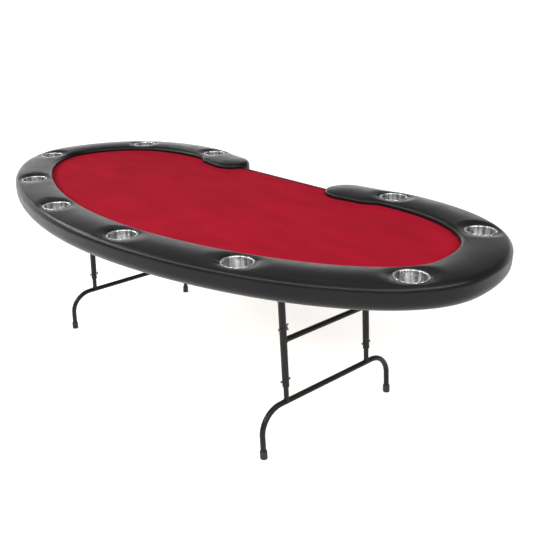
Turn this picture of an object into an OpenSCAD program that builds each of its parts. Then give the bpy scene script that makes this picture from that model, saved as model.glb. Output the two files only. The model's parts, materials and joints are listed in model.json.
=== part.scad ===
// Folding poker table: an oval padded rail with ten drop-in cup holders around a felt
// playing surface, carried by two folding steel leg frames with locking stays.
// +X runs along the table, +Y points to the dealer's side, +Z is up, millimetres.
// The origin lies on the floor, under the middle of the table's outline.

/* [Table top outline] */
// Overall length, over the padded rail
table_l = 2438; // [2200:1:2600]
// Width of the padded rail
rail_w = 156; // [140:1:180]
// Distance from the leg frames' middle line to the front edge
front_reach = 631; // [560:1:700]
// Distance from the leg frames' middle line to the rail end's middle, on the dealer's side
dealer_reach = 428; // [380:1:480]
// Half of the distance between the two rail ends' middles
rail_end_x = 367; // [300:1:440]
// Straight dealer's edge, measured from the leg frames' middle line
dealer_edge = 398; // [360:1:410]
// How far the front stays straight, as a share of the half length
front_fullness = 0.47; // [0.40:0.01:0.54]
// How far each end stays straight towards the front, as a share of the front reach
end_fullness = 0.51; // [0.40:0.01:0.60]
// How far each end stays straight towards the dealer, as a share of the dealer reach
back_fullness = 0.80; // [0.60:0.01:0.90]
// Length of the handle that leads the rail into its end
end_handle = 496; // [400:1:560]
// Angle at which the rail runs into its end
end_angle = 10.4; // [0:0.1:20]

/* [Rail] */
// Height of the rail's top above the floor
table_h = 744; // [700:1:800]
// Overall thickness of the padded rail
rail_t = 86.7; // [80:0.1:100]
// Radius of the rail's outer top edge
rail_top_r = 17.4; // [10:0.1:20]
// Radius of the rail's outer bottom edge
rail_bottom_r = 36.8; // [30:0.1:40]
// Radius of the rail's inner top edge
rail_inner_r = 12.5; // [8:0.1:14]
// Extra width of the rail end on the felt side
end_swell = 31; // [10:1:40]
// Width taken off the rail end on the outer side
end_waist = 15; // [0:1:20]
// Length of the rounded rail end
end_round = 99; // [80:1:110]
// Thickness of the vinyl cover
vinyl_t = 1.4; // [1:0.1:2]
// Width of the vinyl turned under the rail
vinyl_return = 34; // [30:1:36]

/* [Deck] */
// Depth of the felt below the rail's top
felt_drop = 26.6; // [20:0.1:40]
// Thickness of the felt
felt_t = 1.4; // [1:0.1:3]
// How far the felt and its underlay run under the rail
felt_tuck = 26; // [15:1:28]
// Thickness of the foam underlay
underlay_t = 6; // [3:0.5:8]
// Thickness of the deck board
deck_t = 18; // [15:0.5:20]
// Thickness of the plywood ring in the rail
ring_t = 12; // [9:0.5:14]
// Distance from the rail's outer face to the plywood ring
ring_inset = 24; // [20:1:30]
// Distance from the rail's inner face to the plywood ring
ring_inner_inset = 10; // [6:1:14]
// Thickness of the skirt round the deck
skirt_t = 16; // [12:1:18]
// Distance from the rail's outer face to the skirt
skirt_inset = 11; // [9:1:14]
// Height of the skirt's lower edge above the rail's underside
skirt_lift = 10.7; // [8:0.1:16]
// Thickness of the dealer's edge trim
trim_t = 4; // [3:0.5:6]
// Height of the dealer's edge trim above the felt
trim_lip = 2; // [1:0.5:4]

/* [Cup holders] */
// Outer diameter of the lip
cup_lip_d = 103; // [98:0.5:110]
// Outer diameter of the cup's wall
cup_d = 93.4; // [85:0.1:95]
// Depth from lip to bottom
cup_depth = 71; // [50:1:72]
// Sheet thickness
cup_t = 0.8; // [0.6:0.1:1.2]
// How far the lip lies below the rail's top
cup_dip = 6.5; // [3:0.5:9]
// Distances along the rail's middle line from the front middle to each cup on one side
cup_at = [236, 700, 1198, 1729, 2200];

/* [Leg frames] */
// Distance from the table's middle to the feet, along the length
foot_x = 674.4; // [560:0.1:720]
// Half of the distance between the two feet of a frame
foot_y = 320; // [280:1:345]
// Half of the distance between the two uprights of a frame
upright_y = 204; // [180:1:225]
// Outward slope of the legs
splay = 4.108; // [0:0.001:6]
// Diameter of the uprights
upright_d = 24.5; // [22:0.5:28]
// Diameter of the sliding inner tubes
inner_d = 18; // [16:0.5:19]
// Diameter of the foot bar and the crossbar
bar_d = 20; // [18:0.5:22]
// Tube wall
tube_t = 1.6; // [1.2:0.1:2.5]
// Height of the foot bar's middle
foot_bar_h = 169.4; // [140:0.1:190]
// Bend radius of the foot bar
foot_bend_r = 88; // [60:1:100]
// Height of the uprights' lower ends
upright_end_h = 226; // [210:1:240]
// Height of the locking pins
pin_h = 248; // [240:1:260]
// Height of the crossbar
crossbar_h = 393; // [350:1:420]
// Height of the clamping bolts
clamp_h = 435; // [425:1:450]
// Distance from the deck board's underside to the pivot
pivot_drop = 18; // [16:0.5:22]
// Distance from the pivot to the stay's pin on the upright
stay_reach = 140; // [110:1:150]
// Width of the stay links
stay_w = 16; // [12:1:20]
// Thickness of the stay links
stay_t = 3; // [2:0.5:4]
// Fold angle of the right frame short of flat, so that its feet hang under the other's
nest_angle = 3; // [2.5:0.1:4]

/* [Fasteners] */
// Diameter of the rail bolts
rail_bolt_d = 6; // [5:1:8]
// Diameter of the wood screws
screw_d = 3.9; // [3:0.1:5]
// Diameter of the locking pins and clamping bolts
pin_d = 6; // [5:0.5:7]

/* [Hidden] */
STATIONS_FRONT = 24;
STATIONS_BACK = 28;
CAP_STEPS = 12;
EDGE_SLICES = 3;
$fn = 64;
RUN = 0.05;     // radial clearance of a turning pin
EASE = 0.3;     // clearance between moving faces
SET = 0.1;      // radial clearance of a fixed fastener
LAP = 0.05;     // overlap that joins two slices of one piece
FAR = 4000;     // larger than the table
FIELD_GROW = 0.7 * rail_w;  // how far the deck's middle reaches under the rail

half_l = table_l / 2 - rail_w / 2;
felt_h = table_h - felt_drop;
rail_bottom = table_h - rail_t;
deck_top = felt_h - felt_t - underlay_t;
deck_bottom = deck_top - deck_t;
ring_top = felt_h + ring_t;
skirt_bottom = rail_bottom + skirt_lift;
deck_inset = skirt_inset + skirt_t + 0.5;
cup_rim = table_h - cup_dip;
cup_hole_r = cup_d / 2 + 1;
cup_corner_r = 6;
lip_t = 1;
pivot_h = deck_bottom - pivot_drop;
pivot_x = foot_x - pivot_h * tan(splay);
stay_link = stay_reach * sin((90 + splay) / 2);
stay_angle = (90 - splay) / 2;
rail_bolt_at = [0, 468, 949, 1463, 1964];

// ---- outline of the rail ----
front_y = -(front_reach - rail_w / 2);
rail_end = [rail_end_x, dealer_reach];
front_bez = [[0, front_y], [front_fullness * half_l, front_y],
             [half_l, end_fullness * front_y], [half_l, 0]];
back_bez = [[half_l, 0], [half_l, back_fullness * dealer_reach],
            rail_end + end_handle * [cos(end_angle), sin(end_angle)], rail_end];
SWELL_FROM = 0.866;
SWELL_TO = 0.928;

function bez(b, t) = pow(1 - t, 3) * b[0] + 3 * pow(1 - t, 2) * t * b[1]
    + 3 * (1 - t) * t * t * b[2] + pow(t, 3) * b[3];
function slope(b, t) = pow(1 - t, 2) * (b[1] - b[0]) + 2 * (1 - t) * t * (b[2] - b[1])
    + t * t * (b[3] - b[2]);
function unit(v) = v / norm(v);
function outward(v) = [v[1], -v[0]];
function ramp(t) = let (u = min(max((t - SWELL_FROM) / (SWELL_TO - SWELL_FROM), 0), 1)) u * u * (3 - 2 * u);
function station(b, t, swell) = [bez(b, t), outward(unit(slope(b, t))), swell];
stations = concat(
    [for (i = [0 : STATIONS_FRONT - 1]) station(front_bez, i / STATIONS_FRONT, 0)],
    [for (i = [0 : STATIONS_BACK]) let (t = i / STATIONS_BACK) station(back_bez, t, ramp(t))]);
LAST = len(stations) - 1;

function outer_at(s, inset) = s[0] + s[1] * (rail_w / 2 - end_waist * s[2] - inset);
function inner_at(s, inset) = s[0] - s[1] * (rail_w / 2 + end_swell * s[2] - inset);
tip_from = outer_at(stations[LAST], 0);
tip_to = inner_at(stations[LAST], 0);
tip_dir = [stations[LAST][1][1] * -1, stations[LAST][1][0]];
tip_mid = (tip_from + tip_to) / 2;
function tip(inset, inner_inset) =
    let (to_outer = outer_at(stations[LAST], inset) - tip_mid,
         to_inner = inner_at(stations[LAST], inner_inset) - tip_mid)
    [for (i = [1 : CAP_STEPS - 1]) let (f = 180 * i / CAP_STEPS)
        tip_mid + (f < 90 ? to_outer : -to_inner) * cos(f) + tip_dir * sin(f) * (end_round - inset)];

// The outline is moved so that the whole top is centred on the origin.
back_y = max([for (s = stations) outer_at(s, 0)[1]]);
shift_y = (front_reach - back_y) / 2;
function moved(points) = [for (p = points) [p[0], p[1] + shift_y]];
function mirrored(points) = [for (i = [len(points) - 1 : -1 : 0]) [-points[i][0], points[i][1]]];
function tail(points) = [for (i = [1 : len(points) - 1]) points[i]];
function head(points) = [for (i = [0 : len(points) - 2]) points[i]];

outer_half = function (inset) [for (s = stations) outer_at(s, inset)];
inner_half = function (inset) [for (i = [LAST : -1 : 0]) inner_at(stations[i], inset)];

module band(inset, inner_inset) {
    right = concat(outer_half(inset), tip(inset, inner_inset), inner_half(inner_inset));
    polygon(moved(concat(right, tail(head(mirrored(right))))));
}

// Everything inside the rail's inner edge, grown by a distance under the rail, up to a line.
module field(grow, edge) {
    right = concat([inner_at(stations[LAST], rail_w)], inner_half(grow));
    intersection() {
        polygon(moved(concat(right, tail(mirrored(right)))));
        translate([-FAR / 2, edge + shift_y - FAR]) square([FAR, FAR]);
    }
}

// Only the outer wall of the rail, round to the dealer's edge.
module wall(from, to) {
    difference() {
        band(from, from);
        band(to, -rail_w / 4);
        field(FIELD_GROW, dealer_edge + trim_t);
    }
}

module slab(z0, z1) {
    translate([0, 0, z0]) linear_extrude(z1 - z0) children();
}

// ---- places along the rail ----
function run_to(i) = i == 0 ? 0 : run_to(i - 1) + norm(stations[i][0] - stations[i - 1][0]);
runs = [for (i = [0 : LAST]) run_to(i)];
function before(s) = max([for (i = [0 : LAST - 1]) runs[i] <= s ? i : 0]);
function along(s) = let (i = before(s), f = (s - runs[i]) / (runs[i + 1] - runs[i]))
    stations[i][0] * (1 - f) + stations[i + 1][0] * f + [0, shift_y];
function both_sides(list) = concat([for (s = list) along(s)],
    [for (i = [len(list) - 1 : -1 : 0]) if (list[i] > 0) [-along(list[i])[0], along(list[i])[1]]]);
cup_places = both_sides(cup_at);
bolt_places = both_sides(rail_bolt_at);

module at_each(places) {
    for (p = places) translate([p[0], p[1], 0]) children();
}

module cup_holes(r) {
    at_each(cup_places) translate([0, 0, rail_bottom - 1]) cylinder(r = r, h = rail_t + 2);
}

module bolt_holes(r) {
    at_each(bolt_places) translate([0, 0, deck_bottom - 1]) cylinder(r = r, h = ring_top - deck_bottom + 2);
}

// ---- soft outside of the rail, in slices that follow its rounded edges ----
function round_in(r, d) = d >= r ? 0 : r - sqrt(r * r - (r - d) * (r - d));
bottom_slice = rail_bottom_r / EDGE_SLICES;
top_slice = rail_top_r / EDGE_SLICES;

module rail_outside(skin) {
    for (i = [0 : EDGE_SLICES - 1]) {
        d = bottom_slice * (i + 0.5);
        z = rail_bottom + bottom_slice * i;
        slab(z + skin - (i == 0 ? 0 : LAP), z + bottom_slice + skin)
            rail_low_band(round_in(rail_bottom_r, d) + skin, skin);
    }
    slab(rail_bottom + rail_bottom_r - LAP, felt_h) rail_low_band(skin, skin);
    slab(felt_h, table_h - rail_top_r) band(skin, skin);
    slab(felt_h - LAP, felt_h + LAP) rail_low_band(skin, skin);
    for (i = [0 : EDGE_SLICES - 1]) {
        d = top_slice * (i + 0.5);
        z = table_h - top_slice * (i + 1);
        slab(z - skin - LAP, z + top_slice - skin)
            band(round_in(rail_top_r, d) + skin, round_in(rail_inner_r, d) + skin);
    }
}

module rail_low_band(inset, skin) {
    wall(inset, vinyl_return - skin);
}

module rail_inside() {
    slab(skirt_bottom, felt_h) band(skirt_inset, -rail_w / 4);
    slab(felt_h, ring_top) band(ring_inset, ring_inner_inset);
}

// The ring's lower part, which stands on the deck board outside the felt.
module ring_foot() {
    difference() {
        band(deck_inset, ring_inner_inset);
        field(felt_tuck + EASE, dealer_edge + trim_t + EASE);
    }
}

// ---- top pieces ----
module deck_board() color("burlywood") {
    difference() {
        union() {
            slab(deck_bottom, deck_top) band(deck_inset, rail_w / 3);
            slab(deck_bottom, deck_top) field(FIELD_GROW, dealer_edge);
        }
        cup_holes(cup_hole_r);
        bolt_holes(rail_bolt_d / 2 + SET);
        all_screws(SET);
    }
}

module foam_underlay() color("dimgray") {
    slab(deck_top, deck_top + underlay_t) field(felt_tuck, dealer_edge);
}

module felt_cloth() color("crimson") {
    slab(felt_h - felt_t, felt_h) field(felt_tuck, dealer_edge);
}

module dealer_edge_trim() color([0.06, 0.06, 0.07]) {
    reach = tip_mid[0] - end_round - EASE;
    translate([-reach, dealer_edge + shift_y, deck_bottom])
        cube([2 * reach, trim_t, felt_h + trim_lip - deck_bottom]);
}

module rail_ring() color("tan") {
    difference() {
        union() {
            slab(felt_h, ring_top) band(ring_inset, ring_inner_inset);
            slab(deck_top, felt_h + LAP) ring_foot();
        }
        cup_holes(cup_hole_r);
        bolt_holes(tnut_r + SET);
        at_each(bolt_places) translate([0, 0, ring_top - tnut_flange_t])
            cylinder(r = tnut_flange_r + SET, h = tnut_flange_t + 1);
    }
}

module skirt() color("peru") {
    slab(skirt_bottom, felt_h) wall(skirt_inset, skirt_inset + skirt_t);
}

module lip_room() {
    at_each(cup_places) translate([0, 0, cup_rim - lip_t]) cylinder(r = cup_lip_d / 2 + SET, h = rail_t);
}

module rail_foam() color([0.25, 0.25, 0.27]) {
    difference() {
        rail_outside(vinyl_t);
        rail_inside();
        cup_holes(cup_hole_r);
        lip_room();
    }
}

module rail_cover() color([0.09, 0.09, 0.10]) {
    difference() {
        rail_outside(0);
        rail_outside(vinyl_t);
        rail_inside();
        cup_holes(cup_hole_r);
        lip_room();
    }
}

module cup_holder(i) color("silver") {
    wall_r = cup_d / 2;
    translate([cup_places[i][0], cup_places[i][1], cup_rim]) rotate_extrude() {
        difference() {
            union() {
                translate([0, -cup_depth]) square([wall_r - cup_corner_r, cup_t]);
                translate([wall_r - cup_t, -cup_depth + cup_corner_r])
                    square([cup_t, cup_depth - cup_corner_r]);
                intersection() {
                    translate([wall_r - cup_corner_r, -cup_depth + cup_corner_r]) circle(r = cup_corner_r);
                    translate([wall_r - cup_corner_r, -cup_depth]) square([cup_corner_r, cup_corner_r]);
                }
                translate([wall_r - cup_t, -lip_t]) square([cup_lip_d / 2 - wall_r + cup_t, lip_t]);
            }
            translate([wall_r - cup_corner_r, -cup_depth + cup_corner_r]) circle(r = cup_corner_r - cup_t);
        }
    }
}

// ---- rail fasteners ----
tnut_r = 4;
tnut_flange_r = 9.5;
tnut_flange_t = 1.5;
tnut_h = 10;
bolt_head_h = 4;
bolt_head_r = 5.8;

module rail_bolts() color("gainsboro") {
    at_each(bolt_places) {
        translate([0, 0, deck_bottom - bolt_head_h]) cylinder(r = bolt_head_r, h = bolt_head_h, $fn = 6);
        translate([0, 0, deck_bottom - 1]) cylinder(d = rail_bolt_d, h = ring_top - deck_bottom - 2);
    }
}

module rail_tnuts() color("silver") {
    at_each(bolt_places) difference() {
        union() {
            translate([0, 0, ring_top - tnut_h]) cylinder(r = tnut_r, h = tnut_h);
            translate([0, 0, ring_top - tnut_flange_t]) cylinder(r = tnut_flange_r, h = tnut_flange_t);
        }
        translate([0, 0, ring_top - tnut_h - 1]) cylinder(r = rail_bolt_d / 2 + RUN, h = tnut_h + 2);
    }
}

// ---- leg hinges ----
saddle_r = 16;
bracket_w = 24;
bracket_l = 70;
bracket_t = 3;
bracket_y = 150;
bracket_screw_x = 27;
bracket_screw_y = 7;
screw_head_r = 4;
screw_head_h = 2;
screw_grip = 12;

module on_pivot(side) {
    translate([side * pivot_x, shift_y, pivot_h]) children();
}

module along_y(r, y0, y1) {
    translate([0, y0, 0]) rotate([-90, 0, 0]) cylinder(r = r, h = y1 - y0);
}

module hinge_bracket(side, row) color([0.12, 0.12, 0.13]) {
    on_pivot(side) translate([0, row * bracket_y, 0]) difference() {
        union() {
            along_y(saddle_r, -bracket_w / 2, bracket_w / 2);
            translate([-saddle_r, -bracket_w / 2, 0]) cube([2 * saddle_r, bracket_w, pivot_drop - bracket_t]);
            translate([-bracket_l / 2, -bracket_w / 2, pivot_drop - bracket_t])
                cube([bracket_l, bracket_w, bracket_t]);
        }
        along_y(upright_d / 2 + RUN, -bracket_w, bracket_w);
        for (x = [-1, 1], y = [-1, 1])
            translate([x * bracket_screw_x, y * bracket_screw_y, pivot_drop - bracket_t - 1])
                cylinder(r = screw_d / 2 + SET, h = bracket_t + 2);
    }
}

module screw(grow, plate_t) {
    translate([0, 0, -plate_t - (grow > 0 ? 0 : screw_head_h)])
        cylinder(r = grow > 0 ? screw_d / 2 : screw_head_r, h = screw_head_h);
    translate([0, 0, -plate_t]) cylinder(r = screw_d / 2 + grow, h = plate_t + screw_grip + grow);
}

module bracket_screw_set(grow) {
    for (side = [-1, 1], row = [-1, 1], x = [-1, 1], y = [-1, 1])
        on_pivot(side) translate([x * bracket_screw_x, row * bracket_y + y * bracket_screw_y, pivot_drop])
            screw(grow, bracket_t);
}

module anchor_screw_set(grow) {
    for (side = [-1, 1], row = [-1, 1], x = [-1, 1])
        on_pivot(side) translate([-side * stay_reach + x * anchor_screw_x,
                                  row * (anchor_y - anchor_t - anchor_base / 2), pivot_drop])
            screw(grow, anchor_t);
}

module clip_screw_set(grow) {
    for (side = [-1, 1], x = [-1, 1])
        translate([side * clip_x(side) + x * clip_screw_x, shift_y, deck_bottom]) screw(grow, clip_t);
}

module all_screws(grow) {
    bracket_screw_set(grow);
    anchor_screw_set(grow);
    clip_screw_set(grow);
}

module deck_screws() color("gainsboro") {
    all_screws(0);
}

// ---- folding leg frames ----
upright_r = upright_d / 2;
bar_r = bar_d / 2;
inner_r = inner_d / 2;
inner_top = 465;        // height to which the inner tubes reach inside the uprights
hole_pitch = 25;
cap_r = bar_r + 3;
cap_h = 30;
cap_floor = 5;
pivot_over = 22;        // how far the pivot tube runs past the uprights
lean = 1 / cos(splay);
// along the leg, in whole hundredths so the bends meet the straight runs exactly
foot_bar_up = round(foot_bar_h * lean * 100) / 100;
foot_bar_end = round(cap_floor * lean * 100) / 100;

// The frame stands upright in its own plane: z is the height above the floor along the leg.
module leg_plane(side) {
    translate([side * foot_x, shift_y, 0]) rotate([0, -side * splay, 0]) to_side(side) children();
}

module to_side(side) {
    if (side > 0) children();
    else mirror([1, 0, 0]) children();
}

module tube_z(r, t, z0, z1) {
    difference() {
        translate([0, 0, z0]) cylinder(r = r, h = z1 - z0);
        translate([0, 0, z0 - 1]) cylinder(r = r - t, h = z1 - z0 + 2);
    }
}

module pivot_tube(side) color([0.08, 0.08, 0.09]) {
    reach = upright_y + pivot_over;
    on_pivot(side) difference() {
        along_y(upright_r, -reach, reach);
        along_y(upright_r - tube_t, -reach - 1, reach + 1);
    }
}

module upright(side, row) color([0.08, 0.08, 0.09]) {
    leg_plane(side) translate([0, row * upright_y, 0]) difference() {
        tube_z(upright_r, tube_t, upright_end_h * lean, pivot_h * lean);
        translate([0, 0, pivot_h * lean]) along_y(upright_r, -upright_d, upright_d);
        translate([0, 0, pin_h * lean]) along_y(pin_d / 2 + SET, -upright_d, upright_d);
        translate([0, 0, clamp_h * lean]) along_y(pin_d / 2 + SET, -upright_d, upright_d);
        translate([0, 0, pivot_h * lean - stay_reach]) along_y(stay_pin_r + SET, -upright_d, upright_d);
    }
}

module crossbar(side) color([0.08, 0.08, 0.09]) {
    leg_plane(side) difference() {
        translate([0, 0, crossbar_h * lean]) along_y(bar_r, -upright_y, upright_y);
        translate([0, 0, crossbar_h * lean]) along_y(bar_r - tube_t, -upright_y - 1, upright_y + 1);
        for (row = [-1, 1]) translate([0, row * upright_y, 0]) cylinder(r = upright_r, h = table_h);
    }
}

module inner_tube(side, row) color([0.08, 0.08, 0.09]) {
    leg_plane(side) translate([0, row * upright_y, 0]) difference() {
        tube_z(inner_r, tube_t, foot_bar_up, inner_top * lean);
        translate([0, 0, foot_bar_up]) along_y(bar_r, -upright_d, upright_d);
        for (h = [pin_h - 2 * hole_pitch : hole_pitch : pin_h + 3 * hole_pitch])
            if (h > foot_bar_h + bar_d)
                translate([0, 0, h * lean]) along_y(pin_d / 2 + SET, -upright_d, upright_d);
        translate([0, 0, clamp_h * lean]) along_y(pin_d / 2 + SET, -upright_d, upright_d);
    }
}

// The foot bar's round section of a given radius: a straight run, two bends and two drops.
module foot_bar_run(r, foot_end) {
    bend_y = foot_y - foot_bend_r;
    bend_z = foot_bar_up - foot_bend_r;
    translate([0, 0, foot_bar_up]) along_y(r, -bend_y, bend_y);
    for (row = [-1, 1]) to_row(row) {
        translate([0, bend_y, bend_z]) rotate([0, -90, 0]) rotate_extrude(angle = 90)
            translate([foot_bend_r, 0]) circle(r = r);
        translate([0, foot_y, foot_end]) cylinder(r = r, h = bend_z - foot_end);
    }
}

module foot_bar(side) color([0.08, 0.08, 0.09]) {
    leg_plane(side) difference() {
        foot_bar_run(bar_r, foot_bar_end);
        foot_bar_run(bar_r - tube_t, foot_bar_end - 1);
    }
}

module to_row(row) {
    if (row > 0) children();
    else mirror([0, 1, 0]) children();
}

module foot_caps(side) color([0.03, 0.03, 0.03]) {
    difference() {
        leg_plane(side) for (row = [-1, 1]) translate([0, row * foot_y, 0]) difference() {
            translate([0, 0, -cap_h]) cylinder(r = cap_r, h = 2 * cap_h);
            translate([0, 0, foot_bar_end]) cylinder(r = bar_r, h = cap_h * 2);
        }
        translate([-FAR / 2, -FAR / 2, -FAR]) cube([FAR, FAR, FAR]);
    }
}

lock_pin_over = 8;

module lock_pins(side) color("dimgray") {
    reach = upright_r + lock_pin_over;
    leg_plane(side) for (row = [-1, 1]) translate([0, row * upright_y, pin_h * lean]) {
        along_y(pin_d / 2, -reach, reach);
        for (end = [-1, 1]) translate([0, end * (reach - 1), 0]) along_y(pin_d / 2 + 1.2, -1, 1);
    }
}

module clamp_bolts(side) color("dimgray") {
    leg_plane(side) for (row = [-1, 1]) to_row(row) translate([0, upright_y, clamp_h * lean]) {
        along_y(pin_d / 2, -upright_r - 8, upright_r + 1);
        along_y(5.8, upright_r, upright_r + 4);
    }
}

module wing_nuts(side) color("dimgray") {
    leg_plane(side) for (row = [-1, 1]) to_row(row)
        translate([0, upright_y - upright_r, clamp_h * lean]) difference() {
            union() {
                along_y(6, -6, 0);
                for (wing = [-1, 1]) translate([0, 0, wing * 8]) {
                    translate([-1.5, -11, -4]) cube([3, 8, 8]);
                    translate([-1.5, -11, 0]) rotate([0, 90, 0]) cylinder(r = 4, h = 3);
                }
            }
            along_y(pin_d / 2 + RUN, -7, 1);
            along_y(pin_d / 2 + RUN, -20, 1);
        }
}

// ---- folding stays ----
stay_pin_r = 3;
stay_head_r = 5;
stay_head_t = 0.6;
lower_face = upright_y - upright_r - 0.45;              // outer face of the lower link
upper_face = lower_face - stay_t - 2 * stay_head_t - 0.5;   // outer face of the upper link
anchor_y = upper_face - stay_t - EASE;                  // outer face of the anchor's ear
anchor_t = 3;
anchor_base = 22;
anchor_screw_x = 11;

// A flat link with two round ends, lying in the XZ plane from the first pin towards +X.
module link(length, face) {
    translate([0, face, 0]) rotate([90, 0, 0]) linear_extrude(stay_t) difference() {
        union() {
            circle(d = stay_w);
            translate([length, 0]) circle(d = stay_w);
            translate([0, -stay_w / 2]) square([length, stay_w]);
        }
        circle(r = stay_pin_r + RUN);
    }
}

module stay_upper(side, row) color("dimgray") {
    on_pivot(side) to_side(side) to_row(row) translate([-stay_reach, 0, 0])
        rotate([0, stay_angle, 0]) {
            link(stay_link, upper_face);
            translate([stay_link, 0, 0]) along_y(stay_head_r, upper_face, upper_face + stay_head_t);
        }
}

module stay_lower(side, row) color("gray") {
    on_pivot(side) to_side(side) to_row(row) rotate([0, -splay, 0]) translate([0, 0, -stay_reach])
        rotate([0, -90 - stay_angle, 0]) {
            link(stay_link, lower_face);
            translate([stay_link, 0, 0])
                along_y(stay_head_r, lower_face - stay_t - stay_head_t, lower_face - stay_t);
        }
}

module stay_rivets(side) color("silver") {
    head_y = lower_face - stay_t - SET;
    on_pivot(side) to_side(side) rotate([0, -splay, 0]) translate([0, 0, -stay_reach])
        for (row = [-1, 1]) to_row(row) {
            along_y(stay_pin_r, head_y, upright_y + upright_r + 1);
            along_y(stay_head_r, head_y - stay_head_t, head_y);
            along_y(stay_head_r, upright_y + upright_r, upright_y + upright_r + 2);
        }
}

module stay_anchors(side) color([0.12, 0.12, 0.13]) {
    on_pivot(side) to_side(side) translate([-stay_reach, 0, 0])
        for (row = [-1, 1]) to_row(row) {
            difference() {
                union() {
                    translate([-10, anchor_y - anchor_t, 0]) cube([20, anchor_t, pivot_drop]);
                    along_y(10, anchor_y - anchor_t, anchor_y);
                    translate([-20, anchor_y - anchor_t - anchor_base, pivot_drop - anchor_t])
                        cube([40, anchor_base + anchor_t, anchor_t]);
                }
                for (x = [-1, 1])
                    translate([x * anchor_screw_x, anchor_y - anchor_t - anchor_base / 2,
                               pivot_drop - anchor_t - 1])
                        cylinder(r = screw_d / 2 + SET, h = anchor_t + 2);
            }
            along_y(stay_pin_r, anchor_y - 1, upper_face + SET);
            along_y(stay_head_r, upper_face + SET, upper_face + SET + stay_head_t);
        }
}

// ---- storage clips that take the crossbars when the frames are folded ----
clip_t = 2;
clip_w = 30;
clip_gap = 23;
clip_screw_x = 7;

folded_bar = (pivot_h - crossbar_h) * lean;
function clip_fold(side) = side > 0 ? nest_angle : 0;
function clip_x(side) = pivot_x - folded_bar * cos(clip_fold(side));

module storage_clips() color([0.12, 0.12, 0.13]) {
    for (side = [-1, 1]) {
        depth = pivot_drop + folded_bar * sin(clip_fold(side)) + bar_r / 2;
        translate([side * clip_x(side), shift_y, deck_bottom]) difference() {
            translate([-clip_gap / 2 - clip_t, -clip_w / 2, -depth])
                cube([clip_gap + 2 * clip_t, clip_w, depth]);
            translate([-clip_gap / 2, -clip_w, -depth - 1]) cube([clip_gap, 2 * clip_w, depth + 1 - clip_t]);
            for (x = [-1, 1]) translate([x * clip_screw_x, 0, -clip_t - 1])
                cylinder(r = screw_d / 2 + SET, h = clip_t + 2);
        }
    }
}

deck_board();
foam_underlay();
felt_cloth();
dealer_edge_trim();
rail_ring();
skirt();
rail_foam();
rail_cover();
rail_bolts();
rail_tnuts();
deck_screws();
storage_clips();

for (i = [0 : 9])
    cup_holder(i);

for (side = [-1, 1]) {
    hand = side > 0 ? "right" : "left";
    pivot_tube(side);
    crossbar(side);
    foot_bar(side);
    foot_caps(side);
    lock_pins(side);
    clamp_bolts(side);
    wing_nuts(side);
    stay_rivets(side);
    stay_anchors(side);
    for (row = [-1, 1]) {
        place = str(hand, row > 0 ? "_back" : "_front");
        hinge_bracket(side, row);
        upright(side, row);
        inner_tube(side, row);
        stay_upper(side, row);
        stay_lower(side, row);
    }
}
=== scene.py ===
"""Folding poker table: padded oval rail, felt, steel cup holders and folding tube legs."""

import json
import math

import bmesh
import bpy
from mathutils import Matrix, Vector, geometry, noise


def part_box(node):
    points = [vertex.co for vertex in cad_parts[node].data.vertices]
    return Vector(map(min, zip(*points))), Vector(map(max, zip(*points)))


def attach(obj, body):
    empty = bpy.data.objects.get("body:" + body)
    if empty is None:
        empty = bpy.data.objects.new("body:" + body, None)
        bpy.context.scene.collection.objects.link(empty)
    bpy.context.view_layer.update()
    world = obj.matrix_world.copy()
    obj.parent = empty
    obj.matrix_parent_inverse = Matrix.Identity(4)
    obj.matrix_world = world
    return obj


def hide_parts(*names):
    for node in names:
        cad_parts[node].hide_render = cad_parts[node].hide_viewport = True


bl_info = {
    "name": "Folding poker table",
    "version": (1, 0, 0),
    "blender": (4, 5, 0),
    "location": "View3D > Sidebar > Poker table",
    "description": "Builds the upholstery, cups, leg details and studio of a folding poker table",
    "category": "Object",
}

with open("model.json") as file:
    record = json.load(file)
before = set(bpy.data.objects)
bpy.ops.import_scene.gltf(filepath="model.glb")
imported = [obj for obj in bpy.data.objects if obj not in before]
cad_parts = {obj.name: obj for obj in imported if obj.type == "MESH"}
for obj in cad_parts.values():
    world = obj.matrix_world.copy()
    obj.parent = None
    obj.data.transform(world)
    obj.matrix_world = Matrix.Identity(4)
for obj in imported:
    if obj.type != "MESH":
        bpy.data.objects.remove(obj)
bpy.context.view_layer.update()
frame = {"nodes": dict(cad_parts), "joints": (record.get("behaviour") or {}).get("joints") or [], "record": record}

JOINTS = {joint["name"]: joint for joint in frame["joints"]}
MOUNTS = {mount["name"]: mount for mount in frame["record"]["mounts"]}
HANDS = {"right": 1, "left": -1}
ROWS = {"back": 1, "front": -1}
ROOT = "root"


# ---------------------------------------------------------------- sizes taken from the frame

def node_middle(node):
    low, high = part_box(node)
    return (low + high) / 2


LEG_LINE_Y = JOINTS["right_leg_fold"]["pos_m"][1]
PIVOT = Vector(JOINTS["right_leg_fold"]["pos_m"])
FOOT = Vector(MOUNTS["foot_right_back"]["pos_m"])
SPLAY = math.atan2(FOOT.x - PIVOT.x, PIVOT.z)
FELT_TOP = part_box("felt_cloth")[1].z
SKIRT_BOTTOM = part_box("skirt")[0].z
RAIL_LOW, RAIL_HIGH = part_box("rail_cover")
DEALER_EDGE_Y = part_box("dealer_edge_trim")[0].y
TRIM_CLEARANCE = 0.0002
TRIM_FACE_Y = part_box("dealer_edge_trim")[1].y + TRIM_CLEARANCE
CUP_NAMES = sorted(name for name in frame["nodes"] if name.startswith("cup_holder_"))
CUP_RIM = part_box(CUP_NAMES[0])[1].z
CUP_LIP_R = (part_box(CUP_NAMES[0])[1].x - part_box(CUP_NAMES[0])[0].x) / 2
CUP_CENTRES = {name: node_middle(name).to_2d() for name in CUP_NAMES}


# ---------------------------------------------------------------- settings

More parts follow.
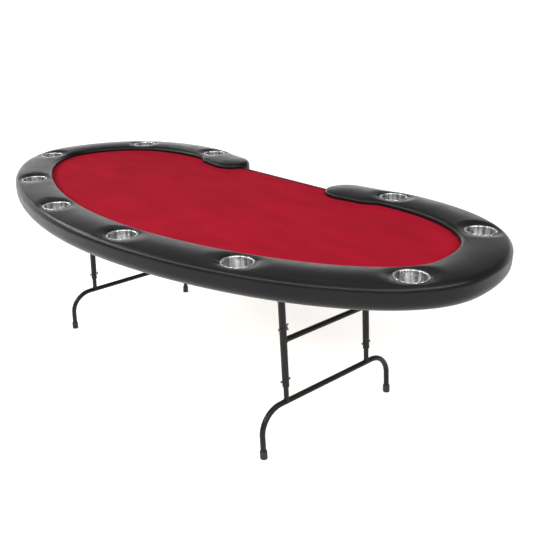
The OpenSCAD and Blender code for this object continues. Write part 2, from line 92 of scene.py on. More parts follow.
def length(name, description, default, **more):
    return bpy.props.FloatProperty(
        name=name, description=description, default=default, unit="LENGTH", precision=4, **more)


def share(name, description, default):
    return bpy.props.FloatProperty(
        name=name, description=description, default=default, min=0, max=1, subtype="FACTOR")


def colour(name, description, default):
    return bpy.props.FloatVectorProperty(
        name=name, description=description, default=default, size=3, min=0, max=1, subtype="COLOR")


class RailSettings(bpy.types.PropertyGroup):
    width: length("Width", "Width of the padded rail", 0.156)
    dealer_reach: length("Dealer reach", "Leg line to the middle of a rail end", 0.428)
    end_x: length("End distance", "Table's middle to the middle of a rail end", 0.367)
    front_fullness: share("Front fullness", "How far the front stays straight", 0.47)
    end_fullness: share("End fullness", "How far each end stays straight, front half", 0.51)
    back_fullness: share("Back fullness", "How far each end stays straight, back half", 0.80)
    end_handle: length("End handle", "How far the rail runs straight into its end", 0.496)
    end_angle: bpy.props.FloatProperty(
        name="End angle", description="Angle at which the rail runs into its end",
        default=math.radians(10.4), subtype="ANGLE")
    swell: length("End swell", "Extra width of a rail end on the felt side", 0.031)
    waist: length("End waist", "Width taken off a rail end on the outer side", 0.015)
    end_round: length("End rounding", "Length of the rounded rail end", 0.099)
    top_radius: length("Top radius", "Rounding of the outer top edge", 0.018)
    inner_radius: length("Inner radius", "Rounding of the inner top edge", 0.0125)
    bottom_radius: length("Bottom radius", "Rounding of the outer bottom edge", 0.0368)
    crown: length("Crown", "How much higher the rail's middle is than its edges", 0.0075)
    vinyl: length("Vinyl", "Thickness of the vinyl", 0.0012)
    turn_under: length("Turn under", "Width of the vinyl turned under the rail", 0.034)
    dip_reach: length("Dip reach", "How far the padding is pulled down round a cup", 0.036)
    colour: colour("Vinyl colour", "Base colour of the vinyl", (0.0055, 0.0055, 0.006))


class FeltSettings(bpy.types.PropertyGroup):
    tuck: length("Tuck", "How far the felt runs under the rail", 0.024)
    thickness: length("Thickness", "Thickness of the felt", 0.0014)
    grid: length("Grid", "Spacing of the cloth's mesh", 0.03)
    colour: colour("Felt colour", "Base colour of the felt", (0.32, 0.0050, 0.0175))


class CupSettings(bpy.types.PropertyGroup):
    bore_radius: length("Bore", "Inner radius of the cup", 0.0459)
    depth: length("Depth", "Depth of the cup", 0.071)
    sheet: length("Sheet", "Thickness of the steel", 0.0008)
    corner: length("Corner", "Radius between wall and floor", 0.006)


class StudioSettings(bpy.types.PropertyGroup):
    camera_place: bpy.props.FloatVectorProperty(
        name="Camera place", description="Where the camera stands", size=3,
        default=(2.1487, -1.5538, 1.4503), subtype="TRANSLATION", unit="LENGTH")
    heading: bpy.props.FloatProperty(
        name="Heading", description="Turn of the camera about the vertical",
        default=math.radians(49.90), subtype="ANGLE")
    tilt: bpy.props.FloatProperty(
        name="Tilt", description="How far the camera looks down",
        default=math.radians(21.69), subtype="ANGLE")
    roll: bpy.props.FloatProperty(
        name="Roll", description="Roll of the camera", default=math.radians(-1.058), subtype="ANGLE")
    lens: bpy.props.FloatProperty(
        name="Lens", description="Focal length on a 36 mm wide sensor, in millimetres", default=47.14)
    shift: bpy.props.FloatVectorProperty(
        name="Shift", description="Lens shift", size=2, default=(0.0296, 0.0123))
    floor_colour: colour("Floor", "Colour of the floor", (0.8, 0.8, 0.8))
    soft_light: bpy.props.FloatProperty(
        name="Soft light", description="Strength of the surrounding light", default=0.2, min=0)
    floor_glow: bpy.props.FloatProperty(
        name="Floor glow", description="Light given off by the floor", default=0.5, min=0)
    wall_distance: length("Wall distance", "Table's middle to the backdrop", 6.5)
    wall_height: length("Wall height", "Height of the backdrop", 2.4)
    overhead_radiance: bpy.props.FloatProperty(
        name="Overhead", description="Brightness of the large overhead softbox", default=0.6, min=0)
    strip_radiance: bpy.props.FloatProperty(
        name="Strips", description="Brightness of the narrow softboxes round the front",
        default=14.0, min=0)
    strip_distance: length("Strip distance", "Table's middle to the narrow softboxes", 4.2)
    strip_height: length("Strip height", "Height of the narrow softboxes", 3.0)
    strip_depth: length("Strip depth", "Height of each narrow softbox's face", 0.5)
    strip_from: bpy.props.FloatProperty(
        name="Strips from", description="Direction of the first narrow softbox, in degrees",
        default=-150.0)
    strip_step: bpy.props.FloatProperty(
        name="Strip step", description="Turn from one narrow softbox to the next, in degrees",
        default=50.0)
    strip_count: bpy.props.IntProperty(
        name="Strip count", description="Number of narrow softboxes", default=4, min=0)


# ---------------------------------------------------------------- plan of the rail

def bezier(points, t):
    a, b, c, d = points
    return (1 - t) ** 3 * a + 3 * (1 - t) ** 2 * t * b + 3 * (1 - t) * t * t * c + t ** 3 * d


def bezier_slope(points, t):
    a, b, c, d = points
    return (1 - t) ** 2 * (b - a) + 2 * (1 - t) * t * (c - b) + t * t * (d - c)


def ease(x):
    x = min(max(x, 0.0), 1.0)
    return x * x * (3 - 2 * x)


class Station:
    """One place along the rail's middle line: its outer and inner edge and their middle."""

    def __init__(self, points, t, swell, rail, line_y):
        place = bezier(points, t)
        slope = bezier_slope(points, t).normalized()
        out = Vector((slope.y, -slope.x))
        self.along = slope
        self.outer = place + out * (rail.width / 2 - rail.waist * swell) + Vector((0, line_y))
        self.inner = place - out * (rail.width / 2 + rail.swell * swell) + Vector((0, line_y))
        self.middle = (self.outer + self.inner) / 2


# Where along the back curve a rail end starts to swell, and where it is at its full width
SWELL_FROM = 0.866
SWELL_TO = 0.928
# Stations along the front, the back and round the tip of the rail
FRONT_STEPS = 64
BACK_STEPS = 84
TIP_STEPS = 32
HALVINGS = 40
# Length over which a rail end's section turns from outer to inner at the dealer's edge
SECTION_BLEND = 0.024


def rail_stations(rail, front_steps=FRONT_STEPS, back_steps=BACK_STEPS):
    """Stations from the middle of the front round one side to the rail's end."""
    half = RAIL_HIGH.x - rail.width / 2
    front_y = RAIL_LOW.y + rail.width / 2 - LEG_LINE_Y
    end = Vector((rail.end_x, rail.dealer_reach))
    lead = Vector((math.cos(rail.end_angle), math.sin(rail.end_angle)))
    front = [Vector((0, front_y)), Vector((rail.front_fullness * half, front_y)),
             Vector((half, rail.end_fullness * front_y)), Vector((half, 0))]
    back = [Vector((half, 0)), Vector((half, rail.back_fullness * rail.dealer_reach)),
            end + rail.end_handle * lead, end]
    made = [Station(front, i / front_steps, 0, rail, LEG_LINE_Y) for i in range(front_steps)]
    for i in range(back_steps + 1):
        t = i / back_steps
        swell = ease((t - SWELL_FROM) / (SWELL_TO - SWELL_FROM))
        made.append(Station(back, t, swell, rail, LEG_LINE_Y))
    return made


class Column:
    """One place on the rail's edge loop: the edge, the middle it faces, and how inner it is."""

    def __init__(self, edge, middle, inner):
        self.edge = edge
        self.middle = middle
        self.inner = inner

    def mirrored(self):
        flip = Vector((-1, 1))
        return Column(self.edge * flip, self.middle * flip, self.inner)


def rail_columns(rail):
    """The closed loop round the rail's edge, from the front's middle to the right first."""
    stations = rail_stations(rail)
    last = stations[-1]
    right = [Column(s.outer, s.middle, 0.0) for s in stations]
    half = (last.outer - last.inner) / 2

    def tip_edge(angle):
        return last.middle + half * math.cos(angle) + last.along * (rail.end_round * math.sin(angle))

    angles = [math.pi * i / TIP_STEPS for i in range(1, TIP_STEPS)]
    low, high = 0.0, math.pi
    for _ in range(HALVINGS):
        middle = (low + high) / 2
        low, high = (middle, high) if tip_edge(middle).y > TRIM_FACE_Y else (low, middle)
    nearest = min(range(len(angles)), key=lambda i: abs(angles[i] - low))
    angles[nearest] = low
    for angle in angles:
        edge = tip_edge(angle)
        inner = ease((DEALER_EDGE_Y + SECTION_BLEND / 2 - edge.y) / SECTION_BLEND)
        right.append(Column(edge, last.middle, inner))
    right += [Column(s.inner, s.middle, 1.0) for s in reversed(stations)]
    return right + [column.mirrored() for column in reversed(right[1:-1])]


# ---------------------------------------------------------------- mesh helpers

def new_object(name, mesh, body, slot):
    obj = bpy.data.objects.new(name, mesh)
    bpy.context.scene.collection.objects.link(obj)
    mesh.materials.append(material(slot))
    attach(obj, body)
    return obj


def finish_mesh(bm, name, smooth=True):
    bmesh.ops.recalc_face_normals(bm, faces=bm.faces)
    mesh = bpy.data.meshes.new(name)
    bm.to_mesh(mesh)
    bm.free()
    for polygon in mesh.polygons:
        polygon.use_smooth = smooth
    return mesh


def apply_modifiers(obj):
    """Replaces an object's mesh by what its modifiers make of it."""
    depsgraph = bpy.context.evaluated_depsgraph_get()
    made = bpy.data.meshes.new_from_object(obj.evaluated_get(depsgraph), depsgraph=depsgraph)
    obj.modifiers.clear()
    obj.data = made


def bridge(bm, row_a, row_b, closed=False):
    count = len(row_a)
    for i in range(count if closed else count - 1):
        j = (i + 1) % count
        corners = [row_a[i], row_a[j], row_b[j], row_b[i]]
        unique = list(dict.fromkeys(corners))
        if len(unique) > 2:
            bm.faces.new(unique)


def lathe(profile, steps, name, closed_profile=False):
    """A surface of revolution about Z from (radius, height) points; a radius of 0 makes a pole."""
    bm = bmesh.new()
    rows = []
    for radius, height in profile:
        if radius < 1e-7:
            rows.append([bm.verts.new((0, 0, height))] * steps)
            continue
        ring = []
        for i in range(steps):
            angle = 2 * math.pi * i / steps
            ring.append(bm.verts.new((radius * math.cos(angle), radius * math.sin(angle), height)))
        rows.append(ring)
    for a, b in zip(rows, rows[1:] + (rows[:1] if closed_profile else [])):
        bridge(bm, a, b, closed=True)
    return finish_mesh(bm, name)


def arc(centre, radius, start, end, steps):
    """Points on an arc, in degrees."""
    made = []
    for i in range(steps + 1):
        angle = math.radians(start + (end - start) * i / steps)
        made.append((centre[0] + radius * math.cos(angle), centre[1] + radius * math.sin(angle)))
    return made


def tube_along(bm, path, radius, sides, closed):
    """A thin round bead that follows a list of points."""
    count = len(path)
    rings = []
    for i, point in enumerate(path):
        before = path[(i - 1) % count] if closed or i else point
        after = path[(i + 1) % count] if closed or i < count - 1 else point
        along = (after - before).normalized()
        side = along.cross(Vector((0.31, 0.52, 0.8))).normalized()
        up = along.cross(side)
        ring = []
        for k in range(sides):
            angle = 2 * math.pi * k / sides
            ring.append(bm.verts.new(point + (side * math.cos(angle) + up * math.sin(angle)) * radius))
        rings.append(ring)
    pairs = list(zip(rings, rings[1:]))
    if closed:
        pairs.append((rings[-1], rings[0]))
    for a, b in pairs:
        bridge(bm, a, b, closed=True)


# ---------------------------------------------------------------- materials

class Shader:
    """A small helper that builds one node material."""

    def __init__(self, name, base, roughness, **sockets):
        self.material = bpy.data.materials.new(name)
        self.material.use_nodes = True
        self.nodes = self.material.node_tree.nodes
        self.links = self.material.node_tree.links
        self.bsdf = self.nodes["Principled BSDF"]
        self.bsdf.inputs["Base Color"].default_value = (*base, 1)
        self.bsdf.inputs["Roughness"].default_value = roughness
        for socket, value in sockets.items():
            self.bsdf.inputs[socket.replace("_", " ")].default_value = value
        self.coordinates = self.add("ShaderNodeTexCoord")
        self.bump_out = None

    def add(self, kind, **values):
        node = self.nodes.new(kind)
        for key, value in values.items():
            if hasattr(node, key):
                setattr(node, key, value)
            else:
                node.inputs[key.replace("_", " ")].default_value = value
        return node

    def stretched(self, scale):
        mapping = self.add("ShaderNodeMapping")
        mapping.inputs["Scale"].default_value = scale
        self.links.new(self.coordinates.outputs["Object"], mapping.inputs["Vector"])
        return mapping.outputs["Vector"]

    def noise(self, scale, detail=2.0, stretch=(1, 1, 1), vector=None):
        node = self.add("ShaderNodeTexNoise", Scale=scale, Detail=detail)
        self.links.new(vector or self.stretched(stretch), node.inputs["Vector"])
        return node.outputs["Fac"]

    def cells(self, scale, stretch=(1, 1, 1)):
        node = self.add("ShaderNodeTexVoronoi", Scale=scale)
        self.links.new(self.stretched(stretch), node.inputs["Vector"])
        return node.outputs["Distance"]

    def ramp(self, factor, low, high, start=0.3, end=0.7):
        node = self.add("ShaderNodeMapRange")
        node.inputs["From Min"].default_value = start
        node.inputs["From Max"].default_value = end
        node.inputs["To Min"].default_value = low
        node.inputs["To Max"].default_value = high
        self.links.new(factor, node.inputs["Value"])
        return node.outputs["Result"]

    def tint(self, factor, dark, light, start=0.3, end=0.7):
        node = self.add("ShaderNodeValToRGB")
        node.color_ramp.elements[0].position = start
        node.color_ramp.elements[0].color = (*dark, 1)
        node.color_ramp.elements[1].position = end
        node.color_ramp.elements[1].color = (*light, 1)
        self.links.new(factor, node.inputs["Fac"])
        self.links.new(node.outputs["Color"], self.bsdf.inputs["Base Color"])

    def rough(self, factor, low, high):
        self.links.new(self.ramp(factor, low, high), self.bsdf.inputs["Roughness"])

    def bump(self, factor, height, strength=1.0):
        node = self.add("ShaderNodeBump")
        node.inputs["Strength"].default_value = strength
        node.inputs["Distance"].default_value = height
        self.links.new(factor, node.inputs["Height"])
        if self.bump_out:
            self.links.new(self.bump_out, node.inputs["Normal"])
        self.bump_out = node.outputs["Normal"]
        self.links.new(self.bump_out, self.bsdf.inputs["Normal"])


def scaled(base, factor):
    return tuple(min(c * factor, 1.0) for c in base)


def vinyl_material(base):
    shader = Shader("rail_vinyl", base, 0.32, Specular_IOR_Level=0.2)
    broad = shader.noise(5.0, 3.0)
    shader.tint(broad, scaled(base, 0.8), scaled(base, 1.25))
    shader.rough(shader.noise(14.0, 4.0), 0.28, 0.35)
    shader.bump(shader.noise(26.0, 2.0), 0.0008, 0.3)
    shader.bump(shader.cells(760.0), 0.00018, 0.3)
    shader.bump(shader.noise(1900.0, 3.0), 0.00008, 0.25)
    return shader.material


def felt_material(base):
    shader = Shader("felt", base, 0.95, Sheen_Weight=0.03, Sheen_Roughness=0.6)
    shader.bsdf.inputs["Sheen Tint"].default_value = (1.0, 0.2, 0.25, 1)
    shader.bsdf.inputs["Specular IOR Level"].default_value = 0.03
    brushed = shader.noise(9.0, 6.0, (0.55, 1.6, 1))
    shader.tint(brushed, scaled(base, 0.90), scaled(base, 1.10), 0.35, 0.65)
    shader.bump(shader.noise(60.0, 5.0, (0.6, 1.7, 1)), 0.0006, 0.5)
    shader.bump(shader.noise(1500.0, 4.0), 0.0004, 0.8)
    return shader.material


def steel_material():
    """Satin stainless steel, with light and dark streaks of painted reflection in its colour round the cup's wall.
    """
    shader = Shader("stainless", (0.80, 0.80, 0.79), 0.13, Metallic=1.0)
    split = shader.add("ShaderNodeSeparateXYZ")
    shader.links.new(shader.coordinates.outputs["Object"], split.inputs["Vector"])
    turn = shader.add("ShaderNodeMath", operation="ARCTAN2")
    shader.links.new(split.outputs["Y"], turn.inputs[0])
    shader.links.new(split.outputs["X"], turn.inputs[1])
    place = shader.add("ShaderNodeCombineXYZ")
    shader.links.new(turn.outputs[0], place.inputs["X"])
    shader.links.new(split.outputs["Z"], place.inputs["Z"])
    round_cup = place.outputs["Vector"]
    shader.rough(shader.noise(60.0, 3.0, vector=round_cup), 0.2, 0.34)
    # Painted reflection: the base colour is striped light and dark round the cup, standing in for the studio
    # lights mirrored in the steel.
    painted_reflection_streaks = shader.noise(3.4, 2.0, vector=round_cup)
    shader.tint(painted_reflection_streaks, (0.42, 0.42, 0.42), (1, 1, 1), 0.42, 0.56)
    return shader.material


def painted_steel(name, base, roughness):
    shader = Shader(name, base, roughness, Specular_IOR_Level=0.25)
    shader.tint(shader.noise(30.0, 4.0), scaled(base, 0.8), scaled(base, 1.3))
    shader.rough(shader.noise(120.0, 3.0), roughness - 0.05, roughness + 0.07)
    shader.bump(shader.noise(700.0, 2.0), 0.00012, 0.5)
    return shader.material


def bare_metal(name, base, roughness):
    shader = Shader(name, base, roughness, Metallic=1.0)
    shader.tint(shader.noise(260.0, 5.0), scaled(base, 0.75), scaled(base, 1.15))
    shader.rough(shader.noise(420.0, 4.0), roughness - 0.08, roughness + 0.12)
    shader.bump(shader.noise(900.0, 3.0), 0.00006, 0.4)
    return shader.material


def moulded(name, base, roughness):
    shader = Shader(name, base, roughness)
    shader.tint(shader.noise(40.0, 4.0), scaled(base, 0.8), scaled(base, 1.3))
    shader.rough(shader.noise(90.0, 3.0), roughness - 0.06, roughness + 0.08)
    shader.bump(shader.noise(1300.0, 3.0), 0.0001, 0.5)
    return shader.material


def board(name, base):
    """Plywood or fibreboard, with a grain drawn out along the table."""
    shader = Shader(name, base, 0.7)
    grain = shader.noise(18.0, 8.0, (0.6, 7.0, 7.0))
    shader.tint(grain, scaled(base, 0.68), scaled(base, 1.15), 0.32, 0.68)
    shader.bump(shader.noise(160.0, 5.0, (0.4, 4.0, 4.0)), 0.0003, 0.5)
    return shader.material


def foam(name, base):
    shader = Shader(name, base, 0.95)
    shader.tint(shader.cells(420.0), scaled(base, 1.2), scaled(base, 0.55), 0.0, 0.8)
    shader.bump(shader.cells(420.0), 0.0008, 0.7)
    return shader.material


def make_materials():
    rail = bpy.context.scene.poker_rail
    felt = bpy.context.scene.poker_felt
    return {
        "rail_vinyl": vinyl_material(rail.colour),
        "felt": felt_material(felt.colour),
        "stainless": steel_material(),
        "black_steel": painted_steel("black_steel", (0.006, 0.006, 0.0065), 0.34),
        "bracket_steel": painted_steel("bracket_steel", (0.03, 0.03, 0.033), 0.45),
        "stay_steel": painted_steel("stay_steel", (0.035, 0.035, 0.038), 0.4),
        "dark_hardware": bare_metal("dark_hardware", (0.10, 0.10, 0.105), 0.36),
        "zinc_hardware": bare_metal("zinc_hardware", (0.60, 0.60, 0.57), 0.34),
        "rubber_cap": moulded("rubber_cap", (0.014, 0.014, 0.014), 0.62),
        "edge_trim": moulded("edge_trim", (0.012, 0.012, 0.013), 0.34),
        "deck_wood": board("deck_wood", (0.42, 0.30, 0.18)),
        "plywood": board("plywood", (0.56, 0.41, 0.25)),
        "underlay_foam": foam("underlay_foam", (0.07, 0.07, 0.075)),
        "rail_foam": foam("rail_foam", (0.16, 0.16, 0.17)),
    }


MATERIALS = {}


def material(slot):
    if not MATERIALS:
        MATERIALS.update(make_materials())
    return MATERIALS[slot]


# ---------------------------------------------------------------- padded rail

# Rows of faces up the rail's wall, over its shoulder, across its crown and round its underside
WALL_ROWS = 3
SHOULDER_ROWS = 10
CROWN_ROWS = 12
UNDER_ROWS = 12
UNDER_SWEEP = 85
# How far the inner edge of the vinyl dips below the felt's face
INNER_SINK = 0.0006
# The hem stands this much short of the turned-under width, on the inner face of the skirt's groove
HEM_SHORT = 0.0056
# How far the seat of a cup's lip lies below the lip's top
SEAT_BELOW_RIM = 0.0012
SEAT_BORDER = 0.002
# Fineness and height of the slow wander of the padding's surface
WANDER_SCALE = 9
WANDER = 0.0004
# How much smaller than the cup's lip the hole in the padding is, and how near its edge is drawn in
HOLE_UNDER_LIP = 0.0032
HOLE_SNAP = 0.008
HOLE_ABOVE_FELT = 0.010
# Gap between the vinyl's inside and the padding
PADDING_GAP = 0.0005


class RailShape:
    """Section of the padded rail at any column, drawn in by a distance from the outside."""

    def __init__(self, rail, inset):
        self.rail = rail
        self.inset = inset
        self.top = RAIL_HIGH.z - inset
        self.bottom = RAIL_LOW.z + inset

    def top_rows(self, column):
        """Inset and height of each row, from the felt's level up to the rail's middle line."""
        rail = self.rail
        radius = rail.top_radius + (rail.inner_radius - rail.top_radius) * column.inner
        reach = (column.edge - column.middle).length
        start = FELT_TOP - INNER_SINK * column.inner
        wall_top = self.top - rail.crown - radius
        rows = [(0.0, start + (wall_top - start) * i / WALL_ROWS) for i in range(WALL_ROWS)]
        for i in range(SHOULDER_ROWS + 1):
            angle = math.radians(90 * i / SHOULDER_ROWS)
            inset = radius * (1 - math.cos(angle))
            crown = rail.crown * (1 - inset / reach) ** 2
            rows.append((inset, self.top - crown - radius * (1 - math.sin(angle))))
        for i in range(1, CROWN_ROWS + 1):
            inset = radius + (reach - radius) * i / CROWN_ROWS
            rows.append((inset, self.top - rail.crown * (1 - inset / reach) ** 2))
        return rows

    def low_rows(self):
        """Inset and height of each row below the felt's level, down and under to the hem."""
        rail = self.rail
        radius = rail.bottom_radius
        start = self.bottom + radius
        rows = [(0.0, FELT_TOP + (start - FELT_TOP) * i / WALL_ROWS) for i in range(1, WALL_ROWS + 1)]
        for i in range(1, UNDER_ROWS + 1):
            angle = math.radians(UNDER_SWEEP * i / UNDER_ROWS)
            rows.append((radius * (1 - math.cos(angle)), start - radius * math.sin(angle)))
        hem = rail.turn_under - HEM_SHORT
        rows.append((hem + 0.0004, self.bottom + 0.0030))
        rows.append((hem + 0.0008, SKIRT_BOTTOM - 0.0045))
        rows.append((hem + 0.0004, SKIRT_BOTTOM + 0.0004))
        rows.append((hem, SKIRT_BOTTOM + 0.0060))
        rows.append((hem, SKIRT_BOTTOM + 0.0170))
        return rows

    def place(self, column, inset, height):
        inward = (column.middle - column.edge).normalized()
        plan = column.edge + inward * (inset + self.inset)
        if (column.middle - column.edge).length - self.inset < inset:
            plan = column.middle.copy()
        return Vector((plan.x, plan.y, height))

    def dipped(self, point):
        """Pulls the padding down round each cup, and lets its surface wander a little."""
        seat = CUP_RIM - self.inset - SEAT_BELOW_RIM
        lift = noise.noise(point * WANDER_SCALE) * WANDER
        for centre in CUP_CENTRES.values():
            gap = (point.to_2d() - centre).length
            if gap < CUP_LIP_R + self.rail.dip_reach and point.z > seat:
                pull = 1 - ease((gap - CUP_LIP_R - SEAT_BORDER) / self.rail.dip_reach)
                return Vector((point.x, point.y, point.z - (point.z - seat) * pull + lift * (1 - pull)))
        return Vector((point.x, point.y, point.z + lift))


def open_cup_holes(bm, radius):
    """Takes out the faces over each cup and draws the hole's edge on to a circle."""
    for centre in CUP_CENTRES.values():
        inside = [face for face in bm.faces
                  if face.normal.z > 0.5 and (face.calc_center_median().to_2d() - centre).length < radius]
        bmesh.ops.delete(bm, geom=inside, context="FACES")
    bm.verts.ensure_lookup_table()
    for vert in bm.verts:
        if not vert.is_boundary:
            continue
        for centre in CUP_CENTRES.values():
            offset = vert.co.to_2d() - centre
            if offset.length < radius + HOLE_SNAP and vert.co.z > FELT_TOP + HOLE_ABOVE_FELT:
                snapped = centre + offset.normalized() * radius
                vert.co = Vector((snapped.x, snapped.y, vert.co.z))


def build_rail_mesh(rail, inset, name):
    shape = RailShape(rail, inset)
    columns = rail_columns(rail)
    bm = bmesh.new()
    middles = {}
    uppers = []
    for column in columns:
        rows = shape.top_rows(column)
        strip = []
        for index, (drawn, height) in enumerate(rows):
            if index == len(rows) - 1:
                key = (round(column.middle.x, 6), round(column.middle.y, 6))
                if key not in middles:
                    middles[key] = bm.verts.new(shape.dipped(shape.place(column, 1.0, height)))
                strip.append(middles[key])
            else:
                strip.append(bm.verts.new(shape.dipped(shape.place(column, drawn, height))))
        uppers.append(strip)
    count = len(columns)
    for i in range(count):
        a, b = uppers[i], uppers[(i + 1) % count]
        for k in range(len(a) - 1):
            corners = list(dict.fromkeys([a[k], b[k], b[k + 1], a[k + 1]]))
            if len(corners) > 2 and bm.faces.get(corners) is None:
                bm.faces.new(corners)
    low = shape.low_rows()
    hangs = [column.inner < 1.0 and (column.inner == 0 or column.edge.y > TRIM_FACE_Y - 1e-5)
             for column in columns]
    strips = {}
    for i, column in enumerate(columns):
        if hangs[i]:
            strips[i] = [uppers[i][0]]
            for drawn, height in low:
                strips[i].append(bm.verts.new(shape.place(column, drawn, height)))
    for i in range(count):
        j = (i + 1) % count
        if hangs[i] and hangs[j]:
            a, b = strips[i], strips[j]
            for k in range(len(a) - 1):
                bm.faces.new([a[k], a[k + 1], b[k + 1], b[k]])
        elif hangs[i] or hangs[j]:
            bm.faces.new(strips[i] if hangs[i] else strips[j])
    bmesh.ops.recalc_face_normals(bm, faces=bm.faces)
    open_cup_holes(bm, CUP_LIP_R - HOLE_UNDER_LIP)
    return finish_mesh(bm, name)


class POKER_OT_rail(bpy.types.Operator):
    """Builds the stretched vinyl of the rail and the padding under it"""

    bl_idname = "poker.rail"
    bl_label = "Padded rail"

    def execute(self, context):
        rail = context.scene.poker_rail
        cover = new_object("rail_vinyl", build_rail_mesh(rail, 0.0, "rail_vinyl"),
                           ROOT, "rail_vinyl")
        skin = cover.modifiers.new("thickness", "SOLIDIFY")
        skin.thickness = rail.vinyl
        skin.offset = -1
        apply_modifiers(cover)
        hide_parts("rail_cover")
        inset = rail.vinyl + PADDING_GAP
        pad = new_object("rail_padding", build_rail_mesh(rail, inset, "rail_padding"),
                         ROOT, "rail_foam")
        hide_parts("rail_foam")
        return {"FINISHED"}


# ---------------------------------------------------------------- felt

FELT_FRONT_STEPS = 48
FELT_BACK_STEPS = 64
# The felt's corner at the dealer's edge: how far under the rail's end and how far along it lies
CORNER_REACH = 0.045
CORNER_SPARE = 0.02
EDGE_GAP = 0.0003
RIPPLE = 0.00025


def felt_outline(rail, tuck):
    """The felt's edge: under the rail all round and straight along the dealer's edge."""
    right = []
    stations = rail_stations(rail, FELT_FRONT_STEPS, FELT_BACK_STEPS)
    for station in stations:
        inward = (station.outer - station.inner).normalized()
        point = station.inner + inward * tuck
        if right and point.y > DEALER_EDGE_Y:
            break
        right.append(point)
    last = stations[-1]
    corner = last.inner + (last.outer - last.inner).normalized() * CORNER_REACH
    right.append(Vector((corner.x + CORNER_SPARE, DEALER_EDGE_Y - EDGE_GAP)))
    return right + [Vector((-p.x, p.y)) for p in reversed(right[1:])]


class POKER_OT_felt(bpy.types.Operator):
    """Builds the stretched felt of the playing surface"""

    bl_idname = "poker.felt"
    bl_label = "Felt"

    def execute(self, context):
        felt = context.scene.poker_felt
        outline = felt_outline(context.scene.poker_rail, felt.tuck)
        points = [p.copy() for p in outline]
        edges = [(i, (i + 1) % len(outline)) for i in range(len(outline))]
        high = Vector((max(p.x for p in outline), max(p.y for p in outline)))
        low = Vector((min(p.x for p in outline), min(p.y for p in outline)))
        for row in range(int((high.y - low.y) / felt.grid) + 1):
            for column in range(int((high.x - low.x) / felt.grid) + 1):
                half = felt.grid / 2 * (row % 2)
                points.append(Vector((low.x + column * felt.grid + half, low.y + row * felt.grid)))
        made = geometry.delaunay_2d_cdt(points, edges, [], 1, 1e-6)
        bm = bmesh.new()
        verts = []
        for p in made[0]:
            ripple = noise.noise(Vector((p.x * 3.1, p.y * 5.3, 0.4))) * RIPPLE
            verts.append(bm.verts.new((p.x, p.y, FELT_TOP + ripple)))
        for face in made[2]:
            bm.faces.new([verts[i] for i in face])
        loose = [v for v in bm.verts if not v.link_faces]
        bmesh.ops.delete(bm, geom=loose, context="VERTS")
        area = sum(face.calc_area() for face in bm.faces)
        sheet = new_object("felt_sheet", finish_mesh(bm, "felt_sheet"), ROOT, "felt")
        if sheet.data.polygons[0].normal.z < 0:
            sheet.data.flip_normals()
        skin = sheet.modifiers.new("thickness", "SOLIDIFY")
        skin.thickness = felt.thickness
        skin.offset = -1
        apply_modifiers(sheet)
        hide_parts("felt_cloth")
        return {"FINISHED"}


# ---------------------------------------------------------------- dealer's edge

class POKER_OT_edge_trim(bpy.types.Operator):
    """Builds the rounded moulding along the dealer's edge"""

    bl_idname = "poker.edge_trim"
    bl_label = "Dealer's edge trim"

    def execute(self, context):
        low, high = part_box("dealer_edge_trim")
        bevel = 0.0006
        radius = (high.y - low.y) / 2 - EDGE_GAP
        middle = (low.y + high.y) / 2
        section = arc((middle, high.z - radius), radius, 0, 180, 12)
        section += [(middle - radius, low.z + bevel), (middle - radius + bevel, low.z)]
        section += [(middle + radius - bevel, low.z), (middle + radius, low.z + bevel)]
        bm = bmesh.new()
        rings = []
        steps = 24
        for i in range(steps + 1):
            x = low.x + (high.x - low.x) * i / steps
            rings.append([bm.verts.new((x, y, z)) for y, z in section])
        for a, b in zip(rings, rings[1:]):
            bridge(bm, a, b, closed=True)
        bm.faces.new(rings[0])
        bm.faces.new(list(reversed(rings[-1])))
        trim = new_object("edge_moulding", finish_mesh(bm, "edge_moulding"),
                          ROOT, "edge_trim")
        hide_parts("dealer_edge_trim")
        return {"FINISHED"}


# ---------------------------------------------------------------- cup holders

def cup_profile(cup):
    """Section of a drawn steel cup with a rolled lip, heights counted from the lip's top."""
    bore = cup.bore_radius
    outer = bore + cup.sheet
    floor = -cup.depth
    roll = 0.0011
    section = [(0.0, floor + cup.sheet + 0.0008), (bore * 0.5, floor + cup.sheet + 0.0006)]
    section += arc((bore - cup.corner, floor + cup.sheet + cup.corner), cup.corner, -90, 0, 8)
    for i in range(1, 7):
        section.append((bore, floor + 0.008 + (cup.depth - 0.014) * i / 7))
    section += arc((bore + 0.0030, -0.0030), 0.0030, 180, 97, 7)
    section += arc((CUP_LIP_R - roll, -roll), roll, 88, -90, 8)
    section += [(outer + 0.0015, -0.0020), (outer, -0.0032), (outer, floor + cup.corner)]
    section += arc((outer - cup.corner, floor + cup.corner), cup.corner, 0, -90, 8)
    section.append((0.0, floor))
    return section


class POKER_OT_cup_holders(bpy.types.Operator):
    """Builds the ten drawn steel cups with rolled lips"""

    bl_idname = "poker.cup_holders"
    bl_label = "Cup holders"

    def execute(self, context):
        profile = cup_profile(context.scene.poker_cup)
        for name, centre in CUP_CENTRES.items():
            mesh = lathe(profile, 96, name + "_shell")
            mesh.materials.append(material("stainless"))
            obj = bpy.data.objects.new(name + "_shell", mesh)
            obj.location = (centre.x, centre.y, CUP_RIM)
            bpy.context.scene.collection.objects.link(obj)
            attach(obj, ROOT)
            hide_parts(name)
        return {"FINISHED"}


# ---------------------------------------------------------------- leg frames

def leg_matrix(side):
    """From a frame's own plane, z up along the leg from the floor, to the table."""
    return (Matrix.Translation((side * FOOT.x, LEG_LINE_Y, 0))
            @ Matrix.Rotation(-side * SPLAY, 4, "Y"))


def along_leg(height):
    return height / math.cos(SPLAY)


def leg_body(hand):
    return hand + "_leg_frame"


